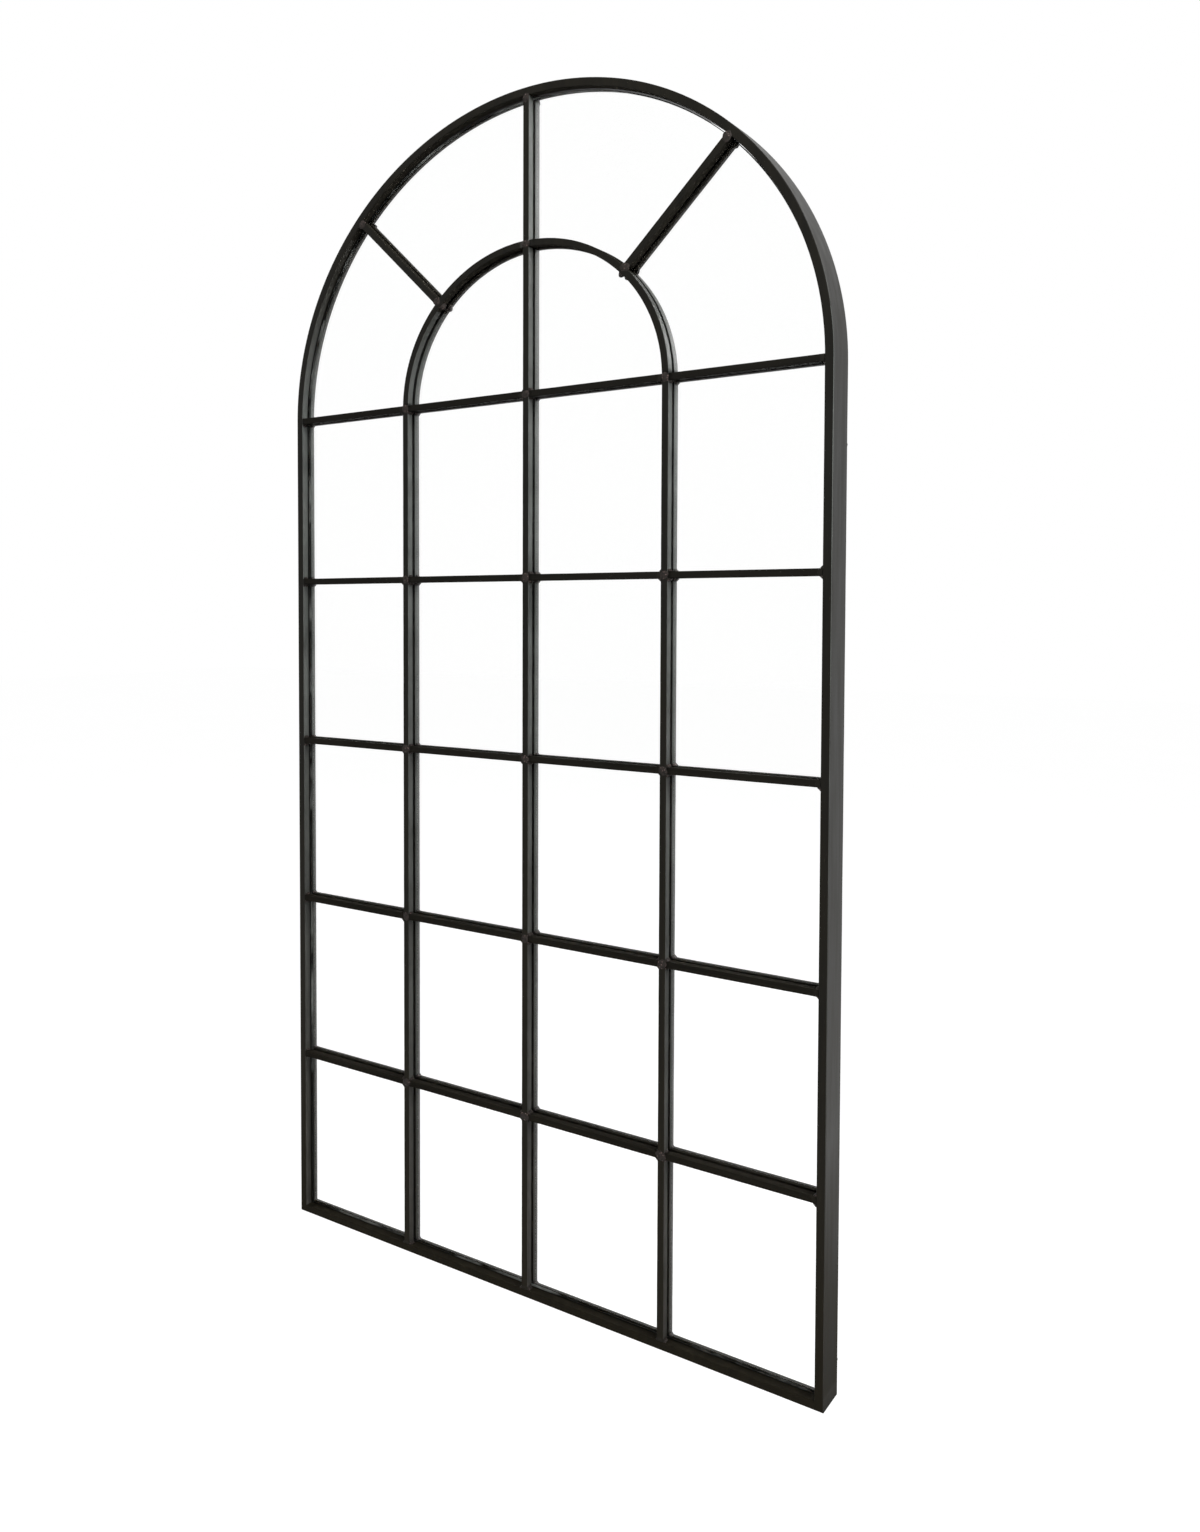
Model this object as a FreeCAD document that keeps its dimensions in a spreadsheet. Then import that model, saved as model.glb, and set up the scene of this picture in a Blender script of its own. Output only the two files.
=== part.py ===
"""Arched window mirror: a welded steel window frame with one mirror glass behind its bars.

Millimetres, +Z up, front towards -Y. The origin is the middle of the line between the two hanging
holes, on the plane of the frame's back.
"""
import FreeCAD, Part
import math
import os
import Sketcher
from FreeCAD import Placement, Rotation, Vector

ROWS = 5
COLUMNS = 4
STILE_CLIPS = 3
RAIL_CLIPS = 2
ARCH_CLIPS = 3
SCREW_SIDES = 12

QUARTER_TURN = 90.0
HALF_TURN = 180.0

# A weld lump is uneven: each corner of its outline has a share of the radius. Its rings get smaller
# as they rise; each has a share of that outline and of the rise.
LUMP_OUTLINE = (0.86, 1.0, 0.9, 0.96, 0.84, 1.0, 0.92, 0.97)
LUMP_RINGS = ((1.0, 0.0), (0.85, 0.6), (0.45, 1.0))

DRIVING_SIZES = [
    ("frame_width", 890.0),
    ("frame_height", 1800.0),
    ("frame_depth", 55.0),
    ("frame_face", 12.0),
    ("tube_wall", 1.5),
    ("tube_corner", 1.2),
    ("bar_width", 10.0),
    ("bar_depth", 13.0),
    ("spoke_angle", 45.0),
    ("glass_thickness", 5.0),
    ("glass_arris", 1.0),
    ("board_thickness", 3.0),
    ("sheet_gap", 1.5),
    ("weld_gap", 0.2),
    ("weld_radius", 8.0),
    ("weld_rise", 1.6),
    ("weld_leg", 3.5),
    ("button_radius", 5.0),
    ("button_rise", 4.0),
    ("hanging_drop", 60.0),
    ("hanging_inset", 27.5),
    ("hanging_hole", 11.0),
    ("plate_width", 48.0),
    ("plate_height", 60.0),
    ("plate_thickness", 3.0),
    ("plate_corner", 6.0),
    ("clip_width", 20.0),
    ("clip_leg", 18.0),
    ("clip_foot", 14.0),
    ("clip_thickness", 1.5),
    ("clip_hole_rise", 11.0),
    ("screw_radius", 1.75),
    ("screw_length", 7.0),
    ("screw_head_radius", 3.5),
    ("screw_head_height", 2.0),
    ("hole_clearance", 0.1),
    ("pad_radius", 5.0),
    ("pad_thickness", 3.0),
    ("pad_inset", 45.0),
]

doc = FreeCAD.newDocument("arched_window_mirror")
sheet = doc.addObject("Spreadsheet::Sheet", "sizes")
for row, (alias, number) in enumerate(DRIVING_SIZES, 1):
    sheet.set(f"A{row}", alias)
    sheet.set(f"B{row}", str(number))
    sheet.setAlias(f"B{row}", alias)
doc.recompute()


class Size:
    """A length with the formula that gives it from the sheet."""

    def __init__(self, value, formula):
        self.value = value
        self.formula = formula

    def __add__(self, other):
        other = as_size(other)
        return Size(self.value + other.value, f"({self.formula} + {other.formula})")

    def __sub__(self, other):
        other = as_size(other)
        return Size(self.value - other.value, f"({self.formula} - {other.formula})")

    def __mul__(self, other):
        other = as_size(other)
        return Size(self.value * other.value, f"({self.formula} * {other.formula})")

    def __truediv__(self, other):
        other = as_size(other)
        return Size(self.value / other.value, f"({self.formula} / {other.formula})")

    def __neg__(self):
        return Size(-self.value, f"(0 - {self.formula})")

    __radd__ = __add__
    __rmul__ = __mul__


def as_size(number):
    return number if isinstance(number, Size) else Size(float(number), f"{float(number)}")


def side_of(whole, other):
    """The second short side of a right triangle with the long side whole."""
    square = whole * whole - other * other
    return Size(math.sqrt(square.value), f"sqrt({square.formula})")


sizes = {alias: Size(sheet.get(alias), f"sizes.{alias}") for alias, _ in DRIVING_SIZES}
width, height, depth, face = (sizes["frame_" + word] for word in ("width", "height", "depth", "face"))
wall, corner = sizes["tube_wall"], sizes["tube_corner"]
bar, bar_depth = sizes["bar_width"], sizes["bar_depth"]
glass, board, sheet_gap = sizes["glass_thickness"], sizes["board_thickness"], sizes["sheet_gap"]
weld_gap, weld_leg = sizes["weld_gap"], sizes["weld_leg"]

half = width / 2
inner = half - face
front = -depth
spring = sizes["hanging_drop"]
bottom = spring - (height - half)
floor = bottom + face
glass_front = front + bar_depth
glass_back = glass_front + glass
board_back = glass_back + board
pane_width = (width - face * 2 - bar * (COLUMNS - 1)) / COLUMNS
pane_height = (spring - bar / 2 - floor - bar * (ROWS - 1)) / ROWS
column_pitch = pane_width + bar
row_pitch = pane_height + bar
first_row = floor + pane_height + bar / 2
ring_outer = column_pitch + bar / 2
ring_inner = ring_outer - bar
zero = as_size(0)


def bind(thing, path, size):
    thing.setExpression(path, as_size(size).formula)


def new_body(name, x=zero, y=zero, z=zero, axis=Vector(0, 0, 1), turn=zero):
    body = doc.addObject("PartDesign::Body", name)
    body.Label = name
    body.Placement = Placement(Vector(x.value, y.value, z.value), Rotation(axis, turn.value))
    for letter, size in zip("xyz", (x, y, z)):
        bind(body, f"Placement.Base.{letter}", size)
    if turn.value:
        bind(body, "Placement.Rotation.Angle", turn)
    return body


def origin_part(body, role):
    return next(item for item in body.Origin.OriginFeatures if item.Role == role)


def new_sketch(body, plane, lift=zero):
    """A sketch parallel to an origin plane; lift is its place along the plane's own normal."""
    sketch = body.newObject("Sketcher::SketchObject", "outline")
    sketch.AttachmentSupport = [(origin_part(body, plane + "_Plane"), "")]
    sketch.MapMode = "FlatFace"
    bind(sketch, "AttachmentOffset.Base.z", lift)
    return sketch


def fix_point(sketch, geometry, vertex, x=None, y=None):
    for kind, size in (("DistanceX", x), ("DistanceY", y)):
        if size is not None:
            rule = Sketcher.Constraint(kind, -1, 1, geometry, vertex, size.value)
            bind(sketch, f"Constraints[{sketch.addConstraint(rule)}]", size)


def set_radius(sketch, geometry, radius):
    rule = sketch.addConstraint(Sketcher.Constraint("Radius", geometry, radius.value))
    bind(sketch, f"Constraints[{rule}]", radius)


def angle_about(centre, point):
    return math.atan2(point[1].value - centre[1].value, point[0].value - centre[0].value)


def draw_loop(sketch, corners, arcs=None, free=()):
    """A closed loop. arcs maps an edge to (centre, radius or None, counter-clockwise); free names the
    (corner, letter) pairs that follow from a radius."""
    arcs = arcs or {}
    ends = []
    for i, start in enumerate(corners):
        stop = corners[(i + 1) % len(corners)]
        if i in arcs:
            centre, radius, forward = arcs[i]
            hub = Vector(centre[0].value, centre[1].value, 0)
            reach = math.hypot(start[0].value - hub.x, start[1].value - hub.y)
            angles = [angle_about(centre, start), angle_about(centre, stop)]
            if not forward:
                angles.reverse()
            circle = Part.Circle(hub, Vector(0, 0, 1), reach)
            edge = sketch.addGeometry(Part.ArcOfCircle(circle, *angles), False)
            fix_point(sketch, edge, 3, *centre)
            if radius is not None:
                set_radius(sketch, edge, radius)
            ends.append((edge, 1, 2) if forward else (edge, 2, 1))
        else:
            points = [Vector(p[0].value, p[1].value, 0) for p in (start, stop)]
            ends.append((sketch.addGeometry(Part.LineSegment(*points), False), 1, 2))
    for i, (edge, first, _) in enumerate(ends):
        before, _, last = ends[i - 1]
        sketch.addConstraint(Sketcher.Constraint("Coincident", before, last, edge, first))
        x = None if (i, "x") in free else corners[i][0]
        y = None if (i, "y") in free else corners[i][1]
        fix_point(sketch, edge, first, x, y)


def draw_rectangle(sketch, left, low, right, high):
    draw_loop(sketch, [(left, low), (right, low), (right, high), (left, high)])


def many_sided(middle, radius, shares):
    """Corners evenly turned about the middle, each as far out as its share of the radius."""
    corners = []
    for i, share in enumerate(shares):
        turn = math.tau * i / len(shares)
        reach = radius * share
        corners.append((middle[0] + reach * math.cos(turn), middle[1] + reach * math.sin(turn)))
    return corners


def draw_circle(sketch, x, y, radius):
    circle = Part.Circle(Vector(x.value, y.value, 0), Vector(0, 0, 1), radius.value)
    edge = sketch.addGeometry(circle, False)
    fix_point(sketch, edge, 3, x, y)
    set_radius(sketch, edge, radius)


def pad(body, sketch, length, towards_normal=True, symmetric=False):
    feature = body.newObject("PartDesign::Pad", "pad")
    feature.Profile = sketch
    bind(feature, "Length", length)
    feature.Reversed = not towards_normal
    feature.SideType = "Symmetric" if symmetric else "One side"
    return feature


def pocket(body, sketch, length=None, against_normal=True):
    """Cuts by length on one side of the sketch, or all the way through on both sides."""
    feature = body.newObject("PartDesign::Pocket", "pocket")
    feature.Profile = sketch
    if length is None:
        feature.Type = "ThroughAll"
        feature.SideType = "Symmetric"
    else:
        bind(feature, "Length", length)
        feature.Reversed = not against_normal
    return feature


def half_turn(body, sketch):
    """Sweeps the sketch half round its own vertical axis."""
    feature = body.newObject("PartDesign::Revolution", "revolution")
    feature.Profile = sketch
    feature.ReferenceAxis = (sketch, ["V_Axis"])
    feature.Angle = HALF_TURN
    feature.Reversed = True
    return feature


def repeat(body, originals, steps):
    """Copies the features through each step in turn: a row, a turn or a mirror image."""
    whole = body.newObject("PartDesign::MultiTransform", "pattern")
    whole.Originals = originals
    transformations = []
    for kind, role, count, spacing in steps:
        step = body.newObject("PartDesign::" + kind, "step")
        if kind == "Mirrored":
            step.MirrorPlane = (origin_part(body, role), [""])
        else:
            step.Mode = "Spacing"
            step.Occurrences = count
            bind(step, "Offset", spacing)
            if kind == "PolarPattern":
                step.Axis = (origin_part(body, role), [""])
                step.Reversed = True
            else:
                step.Direction = (origin_part(body, role), [""])
        transformations.append(step)
    whole.Transformations = transformations
    body.Tip = whole
    return whole


def mirrored(plane):
    """The step that adds the image across a plane."""
    return "Mirrored", plane, None, None


def dress(body, kind, base, size, wanted):
    """Rounds or bevels the edges of base that wanted picks."""
    doc.recompute()
    names = [f"Edge{i}" for i, edge in enumerate(base.Shape.Edges, 1) if wanted(edge)]
    feature = body.newObject("PartDesign::" + kind, kind.lower())
    feature.Base = (base, names)
    bind(feature, "Radius" if kind == "Fillet" else "Size", size)
    return feature


def near(number, size):
    return abs(number - size.value) < 0.001


def pilot_hole(body, plane, lift, x, y, hand):
    """A screw's hole through the tube's inner wall, which faces against hand at this lift."""
    sketch = new_sketch(body, plane, lift - wall * hand)
    draw_circle(sketch, x, y, sizes["screw_radius"] + sizes["hole_clearance"])
    return pocket(body, sketch, wall * 3, against_normal=hand < 0)


# --- the outer frame, of rectangular tube ---------------------------------------------------------

# On the stiles the clips sit behind the middle of every second pane, and on the rail near its ends.
clip_middle = board_back + sizes["clip_hole_rise"]
first_clip = floor + pane_height / 2
stile_step = row_pitch * 2
rail_clip = column_pitch * (COLUMNS - 1) / 2
arch_step = as_size(HALF_TURN / (ARCH_CLIPS + 1))


def tube_section(sketch, left, low, right, high):
    """The tube's hollow section, with its outer corners taken off."""
    near_x, far_x, near_y, far_y = left + corner, right - corner, low + corner, high - corner
    corners = [(near_x, low), (far_x, low), (right, near_y), (right, far_y)]
    corners += [(far_x, high), (near_x, high), (left, far_y), (left, near_y)]
    draw_loop(sketch, corners)
    draw_rectangle(sketch, left + wall, low + wall, right - wall, high - wall)


def stile(name, hand):
    """An upright: square on top, mitred at the foot."""
    body = new_body(name)
    sketch = new_sketch(body, "XY", bottom)
    left, right = (inner, half) if hand > 0 else (-half, -inner)
    tube_section(sketch, left, front, right, zero)
    pad(body, sketch, spring - bottom)
    mitre = new_sketch(body, "XZ")
    corners = [(half + face, bottom - face), (inner - face, floor + face), (inner - face, bottom - face)]
    draw_loop(mitre, [(x * hand, z) for x, z in corners])
    pocket(body, mitre)
    hole = pilot_hole(body, "YZ", inner * hand, clip_middle, first_clip, hand)
    repeat(body, [hole], [("LinearPattern", "Z_Axis", STILE_CLIPS, stile_step)])
    return body


def rail(name):
    """The bottom member, mitred at both ends."""
    body = new_body(name)
    sketch = new_sketch(body, "YZ")
    tube_section(sketch, front, bottom, zero, floor)
    pad(body, sketch, width, symmetric=True)
    mitre = new_sketch(body, "XZ")
    corners = [(half + face, bottom - face), (inner - face, floor + face), (half + face, floor + face)]
    for hand in (1, -1):
        draw_loop(mitre, [(x * hand, z) for x, z in corners])
    pocket(body, mitre)
    hole = pilot_hole(body, "XY", floor, rail_clip, clip_middle, -1)
    repeat(body, [hole], [mirrored("YZ_Plane")])
    return body


def arch(name):
    """The head: the tube bent to a half circle about the middle of the springing line."""
    body = new_body(name, z=spring)
    sketch = new_sketch(body, "XY")
    tube_section(sketch, inner, front, half, zero)
    half_turn(body, sketch)
    hole = pilot_hole(body, "XY", inner, zero, clip_middle, 1)
    repeat(body, [hole], fan_out("YZ_Plane"))
    return body


def fan_out(mirror_plane):
    """Copies from the crown down both sides of the arch."""
    turned = ("PolarPattern", "Y_Axis", (ARCH_CLIPS + 1) // 2, arch_step)
    return [turned, mirrored(mirror_plane)]


# --- the bars, flush with the front of the frame --------------------------------------------------


def flat_bar(body, corners, arcs=None, free=()):
    """A solid bar with this outline as seen from the front."""
    sketch = new_sketch(body, "XZ", -front)
    draw_loop(sketch, corners, arcs, free)
    pad(body, sketch, bar_depth, towards_normal=False)
    return body


def centre_bar(name):
    """From the rail to the crown, where its end is coped to the inside of the arch."""
    reach = inner - weld_gap
    crown = spring + side_of(reach, bar / 2)
    corners = [(-bar / 2, floor), (bar / 2, floor), (bar / 2, crown), (-bar / 2, crown)]
    coped = {2: ((zero, spring), reach, True)}
    return flat_bar(new_body(name), corners, coped, free=((2, "y"), (3, "y")))


def side_bar(name, hand):
    """From the rail up through the springing row, where the inner arch stands on it."""
    body = new_body(name, x=column_pitch * hand)
    top = spring + bar / 2
    return flat_bar(body, [(-bar / 2, floor), (bar / 2, floor), (bar / 2, top), (-bar / 2, top)])


def inner_arch(name, hand):
    """A quarter ring with a level foot on the side bar and an upright end on the centre bar."""
    body = new_body(name, z=spring)
    end = bar / 2
    outer_run, inner_run = side_of(ring_outer, end), side_of(ring_inner, end)
    corners = [(outer_run, end), (end, outer_run), (end, inner_run), (inner_run, end)]
    corners = [(x * hand, z) for x, z in corners]
    hub = (zero, zero)
    arcs = {0: (hub, ring_outer, hand > 0), 2: (hub, ring_inner, hand < 0)}
    return flat_bar(body, corners, arcs, free=((0, "x"), (1, "y"), (2, "y"), (3, "x")))


def spoke(name, turn):
    """From the inner arch to the head, coped at both ends; drawn along +X and turned into place."""
    body = new_body(name, z=spring, axis=Vector(0, -1, 0), turn=turn)
    near_end, far_end = ring_outer + weld_gap, inner - weld_gap
    near_x, far_x = side_of(near_end, bar / 2), side_of(far_end, bar / 2)
    corners = [(near_x, -bar / 2), (far_x, -bar / 2), (far_x, bar / 2), (near_x, bar / 2)]
    hub = (zero, zero)
    arcs = {1: (hub, far_end, True), 3: (hub, near_end, False)}
    return flat_bar(body, corners, arcs, free=tuple((i, "x") for i in range(4)))


def crossbar(name, left, middle):
    """A short level bar between two uprights."""
    box = doc.addObject("Part::Box", name)
    box.Label = name
    for path, size in (("Length", pane_width), ("Width", bar_depth), ("Height", bar)):
        bind(box, path, size)
    for letter, size in zip("xyz", (left, front, middle - bar / 2)):
        bind(box, f"Placement.Base.{letter}", size)
    return box


# --- weld ----------------------------------------------------------------------------------------


def lump(body, plane, seat, middle, radius, rise):
    """An uneven mound that rises by rise from the plane at seat, about the middle of its sketch."""
    rings = []
    for out, up in LUMP_RINGS:
        ring = new_sketch(body, plane, seat + rise * up)
        draw_loop(ring, many_sided(middle, radius * out, LUMP_OUTLINE))
        rings.append(ring)
    loft = body.newObject("PartDesign::AdditiveLoft", "lump")
    loft.Profile = rings[0]
    loft.Sections = rings[1:]
    loft.Ruled = True
    return loft


def weld_dome(body):
    """A low lump on the front, at the middle of the body."""
    return lump(body, "XZ", -front, (zero, zero), sizes["weld_radius"], sizes["weld_rise"])


def weld_corners(body, places):
    """Corners between two bars, filled across as deep as the bars. Each place is the corner's x and z
    and the two directions in which it opens."""
    sketch = new_sketch(body, "XZ", -front)
    for x, z, right, up in places:
        draw_loop(sketch, [(x, z), (x + weld_leg * right, z), (x, z + weld_leg * up)])
    return pad(body, sketch, bar_depth, towards_normal=False)


def weld_lump(name, x, z, ups):
    """The weld of a crossing: a lump on the front and filled corners above, below or both."""
    body = new_body(name, x=x, z=z)
    edge = bar / 2
    places = [(edge * right, edge * up, right, up) for right in (1, -1) for up in ups]
    return body, [weld_dome(body), weld_corners(body, places)]


def group(name, members):
    """Separate solids under one name."""
    whole = doc.addObject("Part::Compound", name)
    whole.Label = name
    whole.Links = members
    return whole


def crossing_welds(name):
    """Where the uprights cross the rows below the springing line."""
    body, weld = weld_lump(name, -column_pitch, first_row, (1, -1))
    across = ("LinearPattern", "X_Axis", COLUMNS - 1, column_pitch)
    repeat(body, weld, [across, ("LinearPattern", "Z_Axis", ROWS - 1, row_pitch)])
    return body


def springing_welds(name):
    """On the springing line the side bars carry the inner arch, whose feet have no filled corners."""
    lumps = [weld_lump("middle_lump", zero, spring, (1, -1))[0]]
    for hand in (1, -1):
        lumps.append(weld_lump("side_lump", column_pitch * hand, spring, (-1,))[0])
    return group(name, lumps)


def stile_welds(name):
    """Filled corners where the rows meet the stiles; the topmost are below the bar only."""
    body = new_body(name)
    edge = bar / 2
    pair = weld_corners(body, [(inner, first_row + edge * up, -1, up) for up in (1, -1)])
    single = weld_corners(body, [(inner, spring - edge, -1, -1)])
    rows = ("LinearPattern", "Z_Axis", ROWS - 1, row_pitch)
    repeat(body, [pair], [rows, mirrored("YZ_Plane")])
    repeat(body, [single], [mirrored("YZ_Plane")])
    return body


def rail_welds(name):
    """Filled corners at the feet of the uprights."""
    body = new_body(name, x=-column_pitch)
    pair = weld_corners(body, [(bar / 2 * right, floor, right, 1) for right in (1, -1)])
    repeat(body, [pair], [("LinearPattern", "X_Axis", COLUMNS - 1, column_pitch)])
    return body


def arch_welds(name):
    """Lumps on the front where the centre bar crosses the inner arch and meets the crown, and at
    both ends of each spoke."""
    places = [(zero, spring + ring_outer - bar / 2), (zero, spring + inner - weld_leg)]
    slope = math.radians(sizes["spoke_angle"].value)
    along = Size(math.cos(slope), "cos(sizes.spoke_angle * 1 deg)")
    upward = Size(math.sin(slope), "sin(sizes.spoke_angle * 1 deg)")
    for hand in (1, -1):
        for reach in (ring_outer, inner - weld_leg):
            places.append((reach * along * hand, spring + reach * upward))
    domes = []
    for x, z in places:
        body = new_body("arch_lump", x=x, z=z)
        weld_dome(body)
        domes.append(body)
    return group(name, domes)


def spoke_button(name, turn):
    """A round weld on the inner side of the inner arch, where the spoke's end comes through."""
    body = new_body(name, z=spring, axis=Vector(0, -1, 0), turn=turn)
    radius = sizes["button_radius"]
    seat = side_of(ring_inner, radius)
    lump(body, "YZ", seat, (front + bar_depth / 2, zero), radius, -sizes["button_rise"])
    return body


# --- the glass and its backing --------------------------------------------------------------------


def arched_sheet(name, start, thickness):
    """A sheet that fills the frame with a gap all round, from start backwards."""
    body = new_body(name)
    sketch = new_sketch(body, "XZ", -start)
    reach = inner - sheet_gap
    low = floor + sheet_gap
    corners = [(-reach, low), (reach, low), (reach, spring), (-reach, spring)]
    draw_loop(sketch, corners, {2: ((zero, spring), None, True)}, free=((3, "x"),))
    return body, pad(body, sketch, thickness, towards_normal=False)


def mirror_glass(name):
    """The mirror: one sheet against the backs of all the bars, with a ground arris in front."""
    body, slab = arched_sheet(name, glass_front, glass)

    def front_rim(edge):
        return all(near(vertex.Point.y, glass_front) for vertex in edge.Vertexes)

    dress(body, "Chamfer", slab, sizes["glass_arris"], front_rim)
    return body


def backing_board(name):
    return arched_sheet(name, glass_back, board)[0]


# --- clips and screws, drawn with the frame's inner face towards +X --------------------------------

STILE, RAIL, HEAD = "stile", "rail", "head"


def clip_place(where):
    """The body's place and turn, the distance of the wall along its own +X, and the copies."""
    if where == STILE:
        step = ("LinearPattern", "Z_Axis", STILE_CLIPS, stile_step)
        return {"z": first_clip}, inner, [step, mirrored("YZ_Plane")]
    quarter = as_size(QUARTER_TURN)
    if where == RAIL:
        place = {"x": -rail_clip, "axis": Vector(0, 1, 0), "turn": quarter}
        return place, -floor, [("LinearPattern", "Z_Axis", RAIL_CLIPS, rail_clip * 2)]
    chord = side_of(inner, sizes["clip_width"] / 2)
    return {"z": spring, "axis": Vector(0, -1, 0), "turn": quarter}, chord, fan_out("XY_Plane")


def clips(name, where):
    """Angle clips: one leg is screwed to the frame's inner face, the foot holds the board."""
    place, wall_at, copies = clip_place(where)
    body = new_body(name, **place)
    thick, leg, foot = (sizes["clip_" + word] for word in ("thickness", "leg", "foot"))
    sketch = new_sketch(body, "XY")
    back, edge = board_back + leg, wall_at - foot
    corners = [(wall_at, board_back), (wall_at, back), (wall_at - thick, back)]
    corners += [(wall_at - thick, board_back + thick), (edge, board_back + thick), (edge, board_back)]
    draw_loop(sketch, corners)
    angle = pad(body, sketch, sizes["clip_width"], symmetric=True)
    hole = new_sketch(body, "YZ", wall_at)
    draw_circle(hole, clip_middle, zero, sizes["screw_radius"] + sizes["hole_clearance"])
    repeat(body, [angle, pocket(body, hole, thick * 2)], copies)
    return body


def screws(name, where):
    """Pan-head screws through the clips into the tube, with flat-sided heads and shanks."""
    place, wall_at, copies = clip_place(where)
    body = new_body(name, **place)
    seat = wall_at - sizes["clip_thickness"]
    parts = []
    for radius, length, outwards in (
        (sizes["screw_head_radius"], sizes["screw_head_height"], False),
        (sizes["screw_radius"], sizes["screw_length"], True),
    ):
        sketch = new_sketch(body, "YZ", seat)
        draw_loop(sketch, many_sided((clip_middle, zero), radius, (1.0,) * SCREW_SIDES))
        parts.append(pad(body, sketch, length, towards_normal=outwards))
    repeat(body, parts, copies)
    return body


# --- hanging plates and wall pads -----------------------------------------------------------------


def hanger_plate(name, hand):
    """A plate level with the frame's back, with the hole that hangs on the wall's screw."""
    body = new_body(name)
    tall, wide = sizes["plate_height"], sizes["plate_width"]
    sketch = new_sketch(body, "XZ")
    ends = [inner, inner - wide]
    corners = [(ends[0] * hand, -tall / 2), (ends[1] * hand, -tall / 2)]
    draw_loop(sketch, corners + [(ends[1] * hand, tall / 2), (ends[0] * hand, tall / 2)])
    plate = pad(body, sketch, sizes["plate_thickness"])

    def free_corner(edge):
        return all(near(vertex.Point.x, ends[1] * hand) for vertex in edge.Vertexes) and (
            near(edge.Length, sizes["plate_thickness"])
        )

    dress(body, "Fillet", plate, sizes["plate_corner"], free_corner)
    hole = new_sketch(body, "XZ")
    draw_circle(hole, (inner - sizes["hanging_inset"]) * hand, zero, sizes["hanging_hole"] / 2)
    pocket(body, hole)
    return body


def hanger_welds(name):
    """A bead along each plate's edge, on its front side."""
    body = new_body(name)
    sketch = new_sketch(body, "XY")
    step = -sizes["plate_thickness"]
    for hand in (1, -1):
        corners = [(inner * hand, step), ((inner - weld_leg) * hand, step), (inner * hand, step - weld_leg)]
        draw_loop(sketch, corners)
    pad(body, sketch, sizes["plate_height"] - sizes["plate_corner"] * 2, symmetric=True)
    return body


def wall_pads(name):
    """Rubber pads on the backs of the stiles, near the foot and near the hanging plates."""
    body = new_body(name)
    sketch = new_sketch(body, "XZ")
    low, high = bottom + sizes["pad_inset"], -sizes["pad_inset"]
    for z in (low, high):
        draw_circle(sketch, half - face / 2, z, sizes["pad_radius"])
    pads = pad(body, sketch, sizes["pad_thickness"], towards_normal=False)
    repeat(body, [pads], [mirrored("YZ_Plane")])
    return body


# --- the whole mirror -----------------------------------------------------------------------------


def build():
    nodes = [stile("left_stile", -1), stile("right_stile", 1), rail("bottom_rail"), arch("arch_head")]
    nodes += [centre_bar("centre_bar"), side_bar("left_bar", -1), side_bar("right_bar", 1)]
    nodes += [inner_arch("inner_arch_left", -1), inner_arch("inner_arch_right", 1)]
    angle = sizes["spoke_angle"]
    nodes += [spoke("spoke_right", angle), spoke("spoke_left", as_size(HALF_TURN) - angle)]
    panes = ("left_outer", "left_inner", "right_inner", "right_outer")
    for number in range(ROWS):
        for column, pane in enumerate(panes):
            left = -inner + column_pitch * column
            nodes.append(crossbar(f"crossbar_{number + 1}_{pane}", left, first_row + row_pitch * number))
    nodes += [crossing_welds("crossing_welds"), springing_welds("springing_welds")]
    nodes += [stile_welds("stile_welds"), rail_welds("rail_welds"), arch_welds("arch_welds")]
    buttons = [spoke_button("button", angle), spoke_button("button", as_size(HALF_TURN) - angle)]
    nodes.append(group("spoke_buttons", buttons))
    nodes += [mirror_glass("mirror_glass"), backing_board("backing_board")]
    for where in (STILE, RAIL, HEAD):
        nodes += [clips(f"{where}_clips", where), screws(f"{where}_screws", where)]
    nodes += [hanger_plate("hanger_plate_left", -1), hanger_plate("hanger_plate_right", 1)]
    nodes += [hanger_welds("hanger_welds"), wall_pads("wall_pads")]
    return nodes


def check_and_export(nodes):
    doc.recompute()
    for item in doc.Objects:
        if "Invalid" in item.State or "Error" in item.State:
            raise RuntimeError(f"{item.Name} ({item.Label}) failed: {item.State}")
    for node in nodes:
        if node.Shape.isNull() or not node.Shape.isValid():
            raise RuntimeError(f"{node.Label} has no valid shape")
    os.makedirs("parts", exist_ok=True)
    for node in nodes:
        node.Shape.exportStep(f"parts/{node.Label}.step")
        box = node.Shape.BoundBox
        spans = ((box.XMin, box.XMax), (box.YMin, box.YMax), (box.ZMin, box.ZMax))
        reach = " ".join(f"{letter} {low:.1f}..{high:.1f}" for letter, (low, high) in zip("xyz", spans))
        print(f"{node.Label}: {len(node.Shape.Solids)} solids, {node.Shape.Volume:.1f} mm3, {reach}")


check_and_export(build())
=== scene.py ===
import math

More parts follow.
